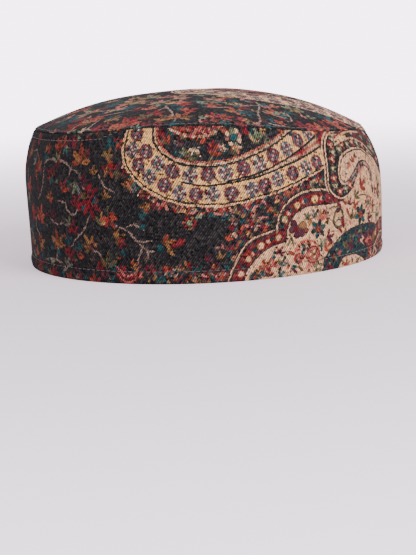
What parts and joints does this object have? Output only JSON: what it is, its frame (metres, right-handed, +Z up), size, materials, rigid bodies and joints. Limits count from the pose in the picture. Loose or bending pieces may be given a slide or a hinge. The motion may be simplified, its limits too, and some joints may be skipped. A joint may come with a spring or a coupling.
{
  "type": "kashmiri kani cap",
  "caption": "Round domed cap of woven shawl cloth with an upright side band, a rounded shoulder seam and a turned hem around the open rim.",
  "frame": {"origin": "middle of the underside of the rim, at the bottom centre of the cap's box", "axes": "+Z up out of the domed top, +Y towards the back of the cap, -Y its front, +X the wearer's left side"},
  "size_m": [0.19, 0.198, 0.0883],
  "materials": {
    "band_cloth": "woven wool shawl cloth, black twill ground with paisley bands and small flowers in ochre, red, teal and cream",
    "top_cloth": "the same woven wool shawl cloth, black twill ground with scattered leaves and vines"
  },
  "bodies": {
    "root": {"side_band": "band_cloth", "crown_top": "top_cloth"}
  },
  "joints": []
}
